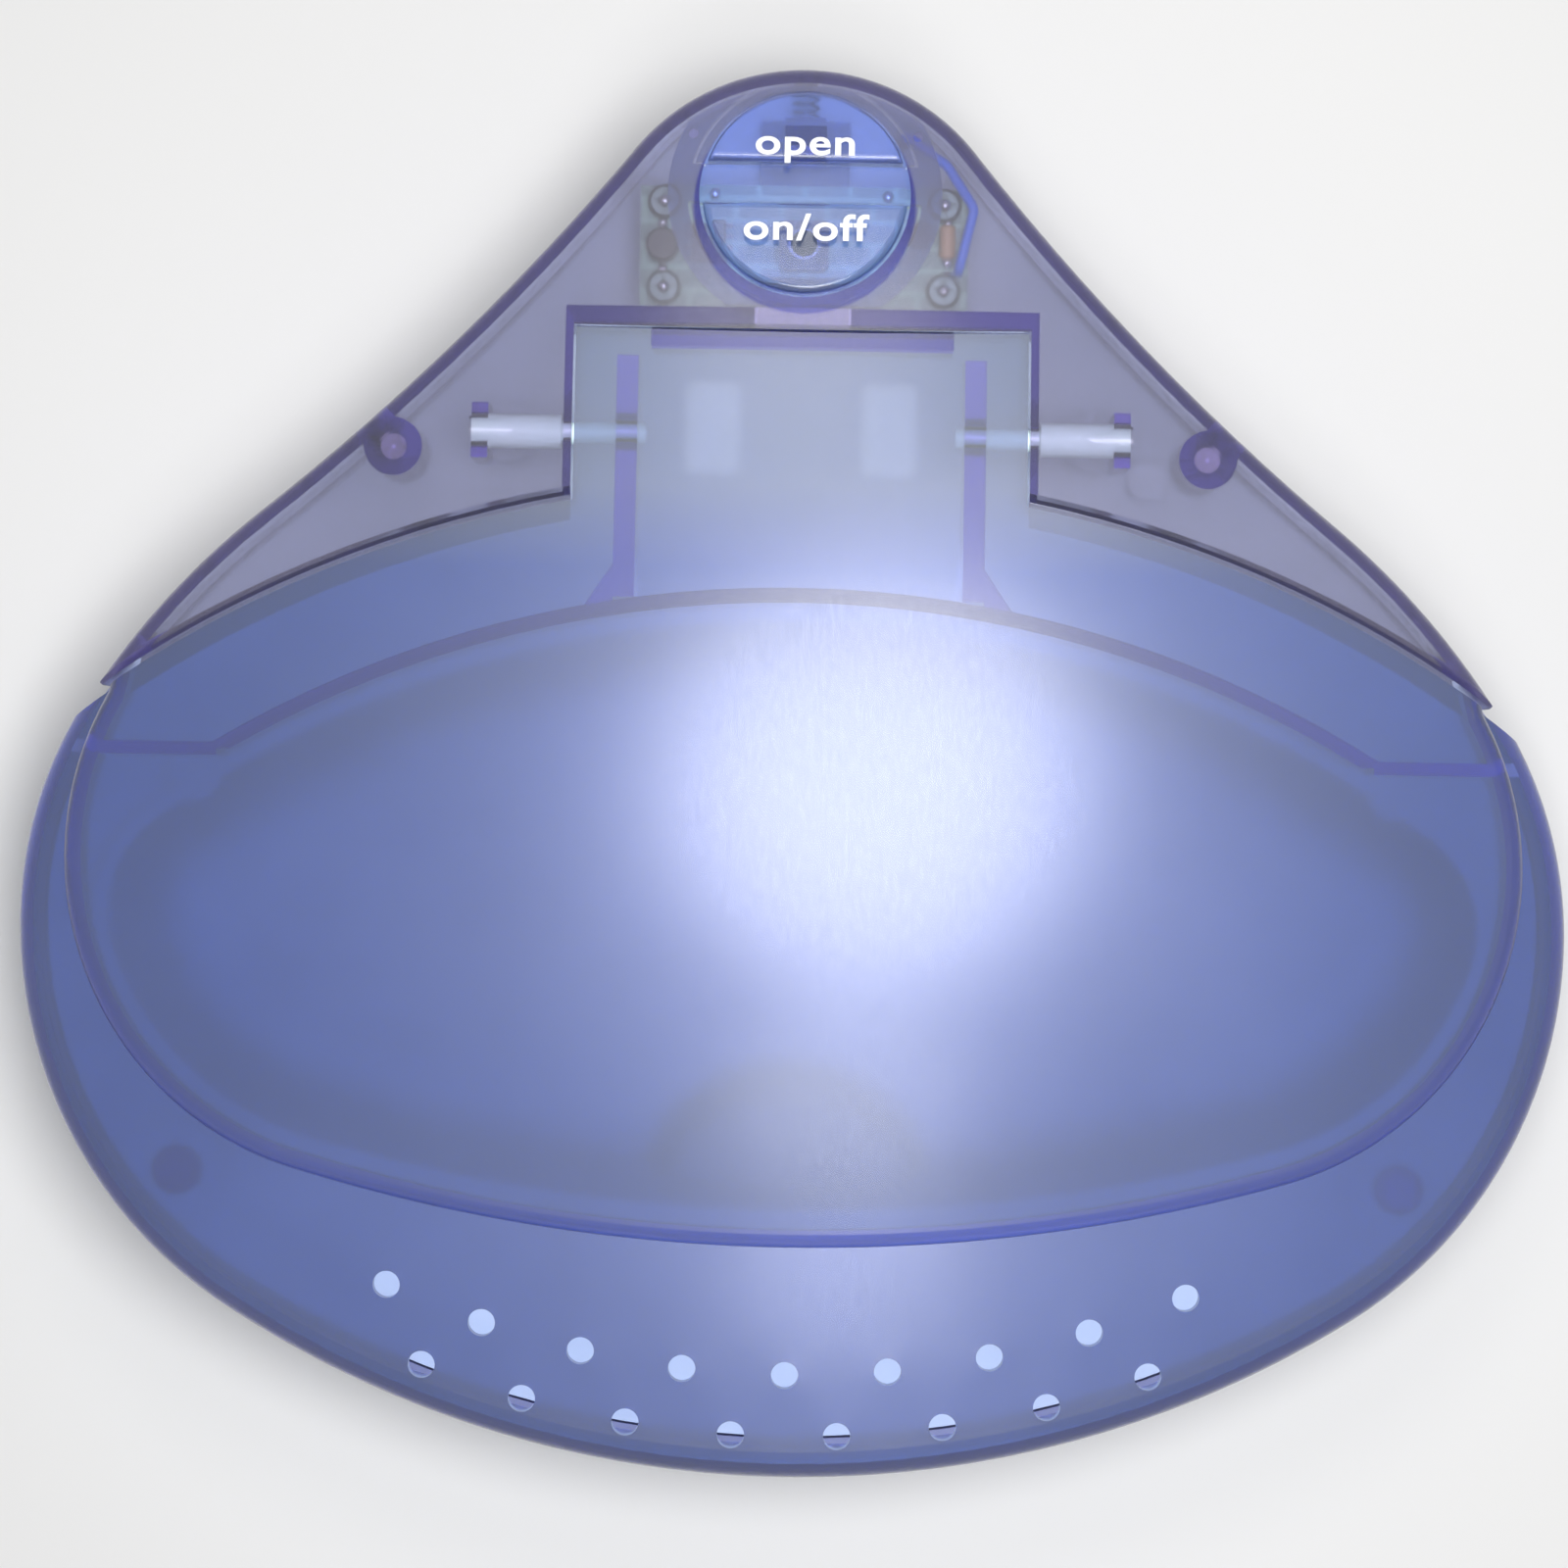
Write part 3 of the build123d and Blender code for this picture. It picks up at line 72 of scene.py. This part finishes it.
def object_place(tree):
    """The place of the shaded point in the object's own space."""
    return tree.nodes.new("ShaderNodeTexCoord").outputs["Object"]


def noise(tree, size, detail=2.0, stretch=(1.0, 1.0, 1.0)):
    """Noise whose patches are about that size in metres, in the object's own space."""
    mapping = tree.nodes.new("ShaderNodeMapping")
    mapping.inputs["Scale"].default_value = stretch
    pattern = tree.nodes.new("ShaderNodeTexNoise")
    pattern.inputs["Scale"].default_value = 1.0 / size
    pattern.inputs["Detail"].default_value = detail
    tree.links.new(object_place(tree), mapping.inputs["Vector"])
    tree.links.new(mapping.outputs["Vector"], pattern.inputs["Vector"])
    return pattern.outputs["Fac"]


def ramp(tree, source, low, high):
    """Turns noise into colours between two colours; most noise lies between 0.3 and 0.7."""
    scale = tree.nodes.new("ShaderNodeValToRGB")
    for element, position, colour in zip(scale.color_ramp.elements, (0.3, 0.7), (low, high)):
        element.position = position
        element.color = (*colour, 1.0)
    tree.links.new(source, scale.inputs["Fac"])
    return scale.outputs["Color"]


def spread(tree, source, low, high, start=0.0, end=1.0, smooth=False):
    """Turns a value between start and end into a value between low and high."""
    scale = tree.nodes.new("ShaderNodeMapRange")
    if smooth:
        scale.interpolation_type = "SMOOTHSTEP"
    scale.inputs["From Min"].default_value = start
    scale.inputs["From Max"].default_value = end
    scale.inputs["To Min"].default_value = low
    scale.inputs["To Max"].default_value = high
    tree.links.new(source, scale.inputs["Value"])
    return scale.outputs["Result"]


def joined(tree, operation, first, second):
    """A maths node on two values, of which the second may be a number."""
    node = tree.nodes.new("ShaderNodeMath")
    node.operation = operation
    tree.links.new(first, node.inputs[0])
    if isinstance(second, float):
        node.inputs[1].default_value = second
    else:
        tree.links.new(second, node.inputs[1])
    return node.outputs["Value"]


def bump(tree, shader, source, height, strength):
    """Raises the surface by a 0 to 1 value times that height in metres."""
    relief = tree.nodes.new("ShaderNodeBump")
    relief.inputs["Strength"].default_value = strength
    relief.inputs["Distance"].default_value = height
    tree.links.new(source, relief.inputs["Height"])
    tree.links.new(relief.outputs["Normal"], shader.inputs["Normal"])


def seen_ray(tree):
    """1 for a ray from the camera, off a glossy surface or through a clear one, and 0 for all others."""
    rays = tree.nodes.new("ShaderNodeLightPath").outputs
    direct = joined(tree, "MAXIMUM", rays["Is Camera Ray"], rays["Is Glossy Ray"])
    return joined(tree, "MAXIMUM", direct, rays["Is Transmission Ray"])


# Kinds of material

shell_cloud = 30 * mm
streak_size, streak_stretch = 0.5 * mm, (1.0, 0.25, 1.0)


def frosted(name, low, high, see_through, rough, body, per_metre, coat=0.0):
    """Frosted plastic: its surface tints a little, and its thickness takes out light like tinted glass.
    A satin coat gives the wide gloss of a blasted mould, and fine streaks run from front to rear."""
    material, tree, shader, output = new_material(name)
    cloud = noise(tree, shell_cloud, detail=3.0)
    streaks = noise(tree, streak_size, stretch=streak_stretch)
    tree.links.new(ramp(tree, cloud, low, high), shader.inputs["Base Color"])
    tree.links.new(spread(tree, streaks, rough - 0.04, rough + 0.04), shader.inputs["Roughness"])
    shader.inputs["Transmission Weight"].default_value = see_through
    shader.inputs["IOR"].default_value = 1.45
    shader.inputs["Specular IOR Level"].default_value = 0.25
    shader.inputs["Coat Weight"].default_value = coat
    shader.inputs["Coat Roughness"].default_value = 0.50
    shader.inputs["Coat IOR"].default_value = 1.58
    bump(tree, shader, streaks, 0.016 * mm, strength=0.35)
    absorption = tree.nodes.new("ShaderNodeVolumeAbsorption")
    absorption.inputs["Color"].default_value = (*body, 1.0)
    absorption.inputs["Density"].default_value = per_metre
    tree.links.new(absorption.outputs["Volume"], output.inputs["Volume"])
    return material


def moulded(name, low, high, rough, relief=0.01 * mm):
    """Opaque moulded plastic or rubber."""
    material, tree, shader, _ = new_material(name)
    cloud = noise(tree, 12 * mm, detail=3.0)
    grain = noise(tree, 0.4 * mm)
    tree.links.new(ramp(tree, cloud, low, high), shader.inputs["Base Color"])
    tree.links.new(spread(tree, grain, rough - 0.05, rough + 0.05), shader.inputs["Roughness"])
    bump(tree, shader, grain, relief, strength=0.5)
    return material


def metal(name, low, high, rough, stretch=(1.0, 1.0, 1.0)):
    """Bare or plated metal with a fine drawn grain."""
    material, tree, shader, _ = new_material(name)
    cloud = noise(tree, 6 * mm, detail=3.0)
    grain = noise(tree, 0.25 * mm, stretch=stretch)
    tree.links.new(ramp(tree, cloud, low, high), shader.inputs["Base Color"])
    tree.links.new(spread(tree, grain, rough - 0.06, rough + 0.08), shader.inputs["Roughness"])
    shader.inputs["Metallic"].default_value = 1.0
    bump(tree, shader, grain, 0.01 * mm, strength=0.3)
    return material


def lacquered_board(name):
    """Green lacquered board with paler tracks, from a brick pattern of narrow lines."""
    material, tree, shader, _ = new_material(name)
    tracks = tree.nodes.new("ShaderNodeTexBrick")
    tracks.inputs["Scale"].default_value = 90.0
    tracks.inputs["Mortar Size"].default_value = 0.03
    tracks.inputs["Color1"].default_value = (0.09, 0.18, 0.16, 1.0)
    tracks.inputs["Color2"].default_value = (0.11, 0.21, 0.18, 1.0)
    tracks.inputs["Mortar"].default_value = (0.20, 0.36, 0.28, 1.0)
    tree.links.new(object_place(tree), tracks.inputs["Vector"])
    tree.links.new(tracks.outputs["Color"], shader.inputs["Base Color"])
    tree.links.new(spread(tree, noise(tree, 0.6 * mm), 0.25, 0.4), shader.inputs["Roughness"])
    bump(tree, shader, tracks.outputs["Fac"], -0.03 * mm, strength=0.5)
    return material


def printed(name, low, high):
    """Print with a slightly worn, uneven coat."""
    material, tree, shader, _ = new_material(name)
    wear = noise(tree, 0.5 * mm, detail=4.0)
    tree.links.new(ramp(tree, wear, low, high), shader.inputs["Base Color"])
    tree.links.new(spread(tree, wear, 0.45, 0.65), shader.inputs["Roughness"])
    return material


# The frosted shells

violet_body, blue_body = (0.40, 0.24, 0.86), (0.20, 0.28, 0.90)
lid_plastic = frosted(
    "lid_plastic", (0.05, 0.14, 0.31), (0.08, 0.18, 0.35),
    see_through=0.90, rough=0.22, body=violet_body, per_metre=420.0, coat=1.0,
)
cover_plastic = frosted(
    "cover_plastic", (0.36, 0.37, 0.39), (0.41, 0.42, 0.44),
    see_through=0.90, rough=0.18, body=violet_body, per_metre=170.0, coat=0.1,
)
key_plastic = frosted(
    "key_plastic", (0.28, 0.37, 0.60), (0.32, 0.41, 0.64),
    see_through=0.90, rough=0.16, body=blue_body, per_metre=120.0, coat=0.3,
)
cap_plastic = frosted(
    "cap_plastic", (0.03, 0.10, 0.60), (0.05, 0.14, 0.65),
    see_through=0.70, rough=0.20, body=(0.05, 0.20, 0.90), per_metre=700.0, coat=0.1,
)
housing_plastic = frosted(
    "housing_plastic", (0.20, 0.22, 0.44), (0.25, 0.27, 0.49),
    see_through=0.45, rough=0.40, body=(0.20, 0.20, 0.75), per_metre=150.0,
)


def retint(material, share, low, high):
    """Where share is 1, the material's tint goes over to one between two other colours."""
    tree = material.node_tree
    base = tree.nodes["Principled BSDF"].inputs["Base Color"]
    mix = tree.nodes.new("ShaderNodeMix")
    mix.data_type = "RGBA"
    tree.links.new(share, mix.inputs["Factor"])
    tree.links.new(base.links[0].from_socket, mix.inputs["A"])
    tree.links.new(ramp(tree, noise(tree, shell_cloud, detail=3.0), low, high), mix.inputs["B"])
    tree.links.new(mix.outputs["Result"], base)


def toward_rear(tree, start, end):
    """0 in front of start and 1 behind end, along the object's own Y axis."""
    axes = tree.nodes.new("ShaderNodeSeparateXYZ")
    tree.links.new(object_place(tree), axes.inputs["Vector"])
    return spread(tree, axes.outputs["Y"], 0.0, 1.0, start, end)


def near_middle(tree, half_length):
    """1 where X is less than half_length on either side, and 0 beyond it."""
    axes = tree.nodes.new("ShaderNodeSeparateXYZ")
    tree.links.new(object_place(tree), axes.inputs["Vector"])
    aside = joined(tree, "ABSOLUTE", axes.outputs["X"], 0.0)
    return joined(tree, "LESS_THAN", aside, half_length)


def inside_circle(tree, y, radius, soft):
    """1 inside a circle, seen from above, whose middle is at that y, and 0 outside it."""
    flat = tree.nodes.new("ShaderNodeVectorMath")
    flat.operation = "MULTIPLY"
    flat.inputs[1].default_value = (1.0, 1.0, 0.0)
    away = tree.nodes.new("ShaderNodeVectorMath")
    away.operation = "DISTANCE"
    away.inputs[1].default_value = (0.0, y, 0.0)
    tree.links.new(object_place(tree), flat.inputs[0])
    tree.links.new(flat.outputs["Vector"], away.inputs[0])
    return spread(tree, away.outputs["Value"], 1.0, 0.0, radius - soft, radius + soft, smooth=True)


# Painted reflection: the lid's tab is tinted paler and greyer than its dome, standing in for the sheen
# of the surroundings on it.
lid_tree = lid_plastic.node_tree
tab_front_y, tab_painted_sheen_y = 24 * mm, 34 * mm
retint(
    lid_plastic, toward_rear(lid_tree, tab_front_y, tab_painted_sheen_y),
    (0.22, 0.32, 0.31), (0.26, 0.36, 0.35),
)

# Painted shade: a line of deeper colour over the bar below the tab's rear edge, where the thick plastic
# lies in shade.
bar_front_y, bar_half_length, bar_soft = 50.5 * mm, 18.2 * mm, 0.4 * mm
bar_shade_tint = (0.05, 0.08, 0.24)
over_bar_shade = joined(
    lid_tree, "MULTIPLY",
    toward_rear(lid_tree, bar_front_y, bar_front_y + bar_soft), near_middle(lid_tree, bar_half_length),
)
retint(lid_plastic, over_bar_shade, bar_shade_tint, bar_shade_tint)

# Painted shade: a crescent of deeper colour round the front of the keys, where the shaded wall of their
# opening shows.
crescent_y, crescent_radius, crescent_soft = 68.3 * mm, 13.4 * mm, 0.25 * mm
crescent_shade_tint = (0.05, 0.06, 0.36)
in_crescent_shade = inside_circle(
    cover_plastic.node_tree, crescent_y, crescent_radius, crescent_soft
)
retint(cover_plastic, in_crescent_shade, crescent_shade_tint, crescent_shade_tint)


# The finish of every CAD node, by the slot that its record names

finishes = {
    "lid_plastic": lid_plastic,
    "cover_plastic": cover_plastic,
    "key_plastic": key_plastic,
    "housing_plastic": housing_plastic,
    "basin_plastic": moulded(
        "basin_plastic", (0.33, 0.39, 0.52), (0.38, 0.44, 0.57), 0.50, relief=0.02 * mm
    ),
    "pin_white": moulded("pin_white", (0.74, 0.92, 0.96), (0.82, 0.97, 0.99), 0.45),
    "dark_parts": moulded("dark_parts", (0.020, 0.020, 0.024), (0.035, 0.035, 0.040), 0.45),
    "tan_parts": moulded("tan_parts", (0.42, 0.25, 0.12), (0.50, 0.31, 0.16), 0.40),
    "rubber_grey": moulded("rubber_grey", (0.20, 0.22, 0.27), (0.25, 0.27, 0.33), 0.70),
    "pad_foam": moulded("pad_foam", (0.90, 0.93, 0.95), (0.95, 0.97, 0.98), 0.85, relief=0.05 * mm),
    "cell_wrap": moulded("cell_wrap", (0.10, 0.11, 0.13), (0.15, 0.16, 0.19), 0.30),
    "lead_red": moulded("lead_red", (0.50, 0.03, 0.03), (0.58, 0.05, 0.04), 0.42),
    "lead_black": moulded("lead_black", (0.02, 0.02, 0.02), (0.03, 0.03, 0.03), 0.42),
    "lead_blue": moulded("lead_blue", (0.02, 0.13, 0.75), (0.03, 0.17, 0.85), 0.42),
    "steel": metal("steel", (0.34, 0.35, 0.38), (0.42, 0.43, 0.46), 0.22, stretch=(1.0, 6.0, 1.0)),
    "contact": metal("contact", (0.74, 0.68, 0.52), (0.84, 0.79, 0.66), 0.26),
    "weight_metal": metal("weight_metal", (0.48, 0.46, 0.42), (0.58, 0.56, 0.50), 0.38),
    "board": lacquered_board("board"),
}
screw_steel = metal("screw_steel", (0.15, 0.16, 0.19), (0.20, 0.21, 0.24), 0.36)
dull_steel = metal("dull_steel", (0.11, 0.15, 0.15), (0.14, 0.18, 0.18), 0.44)
solder = metal("solder", (0.90, 0.91, 0.93), (0.96, 0.97, 0.98), 0.24)
print_white = printed("print_white", (0.80, 0.82, 0.88), (0.95, 0.96, 0.98))


def finish(node, material):
    """Gives a CAD node that material all over."""
    for slot in node.material_slots:
        slot.material = material


for node in nodes.values():
    slot_name = node.material_slots[0].material.name.split(".")[0]
    finish(node, finishes[slot_name])

# The screws are of darker steel than the rest, and the caps under the brim of a deeper blue.
for name in ("cover_screws", "deck_screws", "base_screws", "bracket_screw"):
    finish(nodes[name], screw_steel)
finish(nodes["board_screws"], dull_steel)
finish(nodes["screw_caps"], cap_plastic)

# The clear shells let the lamps light what is below them.
for name in ("lid", "rear_cover", "open_key", "power_key", "key_frame", "screw_caps"):
    nodes[name].visible_shadow = False


# Pieces that the CAD model leaves to this script

def new_piece(name, data, material):
    """An object in the scene that takes that material."""
    piece = bpy.data.objects.new(name, data)
    bpy.context.scene.collection.objects.link(piece)
    piece.data.materials.append(material)
    return piece


def node_span(node):
    """The lowest and highest corner of a CAD node, in metres."""
    corners = [node.matrix_world @ Vector(corner) for corner in node.bound_box]
    low = Vector([min(corner[axis] for corner in corners) for axis in range(3)])
    high = Vector([max(corner[axis] for corner in corners) for axis in range(3)])
    return low, high


# Function marks on the keys

mark_size = 4.4 * mm
mark_width = 1.3
mark_spacing = 1.08
mark_thickness = 0.05 * mm
mark_boldness = 0.08 * mm
mark_lift = 0.02 * mm


def mark(text, name, body, y):
    """A word printed on top of a key: a thin raised text that rides on the key's body."""
    curve = bpy.data.curves.new(name, "FONT")
    curve.body = text
    curve.size = mark_size
    curve.align_x = "CENTER"
    curve.align_y = "CENTER"
    curve.extrude = mark_thickness
    curve.offset = mark_boldness
    curve.space_character = mark_spacing
    piece = new_piece(name, curve, print_white)
    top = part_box(body)[1][2]
    piece.location = (0.0, y, top + mark_lift)
    piece.scale = (mark_width, 1.0, 1.0)
    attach(piece, body)


mark("open", "open_mark", "open_key", 75.7 * mm)
mark("on/off", "power_mark", "power_key", 65.0 * mm)


# Latch spring: it stands for the CAD spring

wire_sides = 8
steps_per_turn = 32


def coil_mesh(name, low, high, wire, turns):
    """A coil spring along Y that fills the space between two corners."""
    middle = (low + high) / 2
    radius = (high.x - low.x - wire) / 2
    length = high.y - low.y - wire
    steps = turns * steps_per_turn
    along = Vector((0.0, 1.0, 0.0))
    vertices = []
    for step in range(steps + 1):
        angle = math.tau * turns * step / steps
        outward = Vector((math.cos(angle), 0.0, math.sin(angle)))
        centre = Vector((middle.x, low.y + wire / 2 + length * step / steps, middle.z))
        centre += outward * radius
        for side in range(wire_sides):
            turn = math.tau * side / wire_sides
            vertices.append(centre + (outward * math.cos(turn) + along * math.sin(turn)) * wire / 2)
    last = steps * wire_sides
    faces = [tuple(range(wire_sides)), tuple(reversed(range(last, last + wire_sides)))]
    for start in range(0, last, wire_sides):
        for side in range(wire_sides):
            here, beside = start + side, start + (side + 1) % wire_sides
            faces.append((beside, here, here + wire_sides, beside + wire_sides))
    mesh = bpy.data.meshes.new(name)
    mesh.from_pydata(vertices, [], faces)
    for face in mesh.polygons:
        face.use_smooth = len(face.vertices) == 4
    return mesh


spring_wire, spring_turns, latch_travel = 0.4 * mm, 3, 1.2 * mm
spring_low, spring_high = node_span(nodes["latch_spring"])
spring_mesh = coil_mesh("spring_coil", spring_low, spring_high, spring_wire, spring_turns)
spring = new_piece("spring_coil", spring_mesh, finishes["steel"])
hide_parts("latch_spring")
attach(spring, "root")
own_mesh(spring)


# Solder on the circuit board

solder_radius = 0.8 * mm


def solder_joints(name, places):
    """Small domes of solder, all in one mesh, round the given places."""
    shape = bmesh.new()
    for place in places:
        middle = Matrix.Translation(place)
        bmesh.ops.create_uvsphere(
            shape, u_segments=20, v_segments=12, radius=solder_radius, matrix=middle
        )
    mesh = bpy.data.meshes.new(name)
    shape.to_mesh(mesh)
    shape.free()
    for face in mesh.polygons:
        face.use_smooth = True
    piece = new_piece(name, mesh, solder)
    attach(piece, "root")


board_top = node_span(nodes["circuit_board"])[1].z
joint_places = (
    (-10.9, 69.9), (10.1, 69.8), (17.4, 60.5), (17.4, 62.2), (17.4, 67.0), (-17.2, 60.8), (-17.2, 66.4)
)
joints = [(x * mm, y * mm, board_top) for x, y in joint_places]

# A drop of solder also sits in the middle of each screw head of the board.
screw_head_radius = 2.1 * mm
screws_low, screws_high = node_span(nodes["board_screws"])
for x in (screws_low.x + screw_head_radius, screws_high.x - screw_head_radius):
    for y in (screws_low.y + screw_head_radius, screws_high.y - screw_head_radius):
        joints.append((x, y, screws_high.z))
solder_joints("solder_joints", joints)


# Floor, light and camera

floor_half = 1.5
backdrop_start, backdrop_end = 0.17, 0.6


def floor_material():
    """Plain pale matt floor, which goes over to a white backdrop far from the object."""
    material, tree, shader, output = new_material("floor_pale")
    cloud = noise(tree, 0.2)
    tree.links.new(
        ramp(tree, cloud, (0.80, 0.795, 0.785), (0.83, 0.825, 0.815)), shader.inputs["Base Color"]
    )
    shader.inputs["Roughness"].default_value = 0.9
    shader.inputs["Specular IOR Level"].default_value = 0.1
    away = tree.nodes.new("ShaderNodeVectorMath")
    away.operation = "LENGTH"
    tree.links.new(object_place(tree), away.inputs[0])
    far = spread(
        tree, away.outputs["Value"], 0.0, 1.0, backdrop_start, backdrop_end, smooth=True
    )
    backdrop = tree.nodes.new("ShaderNodeEmission")
    backdrop.inputs["Strength"].default_value = 1.0
    choice = tree.nodes.new("ShaderNodeMixShader")
    tree.links.new(joined(tree, "MULTIPLY", far, seen_ray(tree)), choice.inputs["Fac"])
    tree.links.new(shader.outputs["BSDF"], choice.inputs[1])
    tree.links.new(backdrop.outputs["Emission"], choice.inputs[2])
    tree.links.new(choice.outputs["Shader"], output.inputs["Surface"])
    return material


corner_signs = ((-1, -1), (1, -1), (1, 1), (-1, 1))
floor_corners = [(x * floor_half, y * floor_half, 0.0) for x, y in corner_signs]
floor_mesh = bpy.data.meshes.new("floor")
floor_mesh.from_pydata(floor_corners, [], [(0, 1, 2, 3)])
floor = bpy.data.objects.new("floor", floor_mesh)
floor.data.materials.append(floor_material())
bpy.context.scene.collection.objects.link(floor)


def world_light(colour, strength):
    """Even light from all round; the camera and clear or glossy surfaces see plain white instead."""
    world = bpy.data.worlds.new("studio")
    world.use_nodes = True
    tree = world.node_tree
    tree.nodes.clear()
    output = tree.nodes.new("ShaderNodeOutputWorld")
    light = tree.nodes.new("ShaderNodeBackground")
    light.inputs["Color"].default_value = colour
    light.inputs["Strength"].default_value = strength
    seen = tree.nodes.new("ShaderNodeBackground")
    seen.inputs["Color"].default_value = white
    seen.inputs["Strength"].default_value = 1.0
    choice = tree.nodes.new("ShaderNodeMixShader")
    tree.links.new(seen_ray(tree), choice.inputs["Fac"])
    tree.links.new(light.outputs["Background"], choice.inputs[1])
    tree.links.new(seen.outputs["Background"], choice.inputs[2])
    tree.links.new(choice.outputs["Shader"], output.inputs["Surface"])
    bpy.context.scene.world = world


world_light((0.96, 0.98, 1.0, 1.0), 0.24)

lamp_distance = 0.45


def lamp(name, aim, direction, size, watts):
    """A round soft lamp that faces the aim point from that direction."""
    data = bpy.data.lights.new(name, "AREA")
    data.shape = "DISK"
    data.size = size
    data.energy = watts
    place = aim + Vector(direction).normalized() * lamp_distance
    source = bpy.data.objects.new(name, data)
    source.location = place
    source.rotation_euler = (aim - place).to_track_quat("-Z", "Y").to_euler()
    bpy.context.scene.collection.objects.link(source)


# The key lamp makes the bright spot on the dome. A weaker one in front shows on the brim and on the
# dome's front slope, and one behind on the keys, the rear cover and the lid's tab.
dome_spot = Vector((9.4, -0.4, 57.0)) * mm
brim_spot = Vector((6.0, -50.0, 54.0)) * mm
tab_spot = Vector((0.0, 45.0, 52.0)) * mm
lamp("key_lamp", dome_spot, (0.073, 0.047, 1.0), size=0.22, watts=2.00)
lamp("front_lamp", brim_spot, (0.06, -0.22, 0.97), size=0.12, watts=0.30)
lamp("rear_lamp", tab_spot, (0.0, 0.46, 0.89), size=0.14, watts=0.22)

# The photograph is taken from straight above, turned by a degree.
photo_width = 1600
pixels_per_mm = 8.4
view_width = photo_width / pixels_per_mm * mm
camera_x, camera_y = -1.3 * mm, -1.6 * mm
camera_roll = math.radians(1.0)
camera_distance = 600 * mm
frame_plane = 45 * mm

camera_data = bpy.data.cameras.new("camera")
camera_data.sensor_width = 36.0
camera_data.lens = camera_data.sensor_width * camera_distance / view_width
camera_data.clip_start = 0.01
camera_data.clip_end = 20.0
camera = bpy.data.objects.new("camera", camera_data)
camera.location = (camera_x, camera_y, frame_plane + camera_distance)
camera.rotation_euler = (0.0, 0.0, camera_roll)
bpy.context.scene.collection.objects.link(camera)
bpy.context.scene.camera = camera

bpy.context.scene.view_settings.view_transform = "Standard"
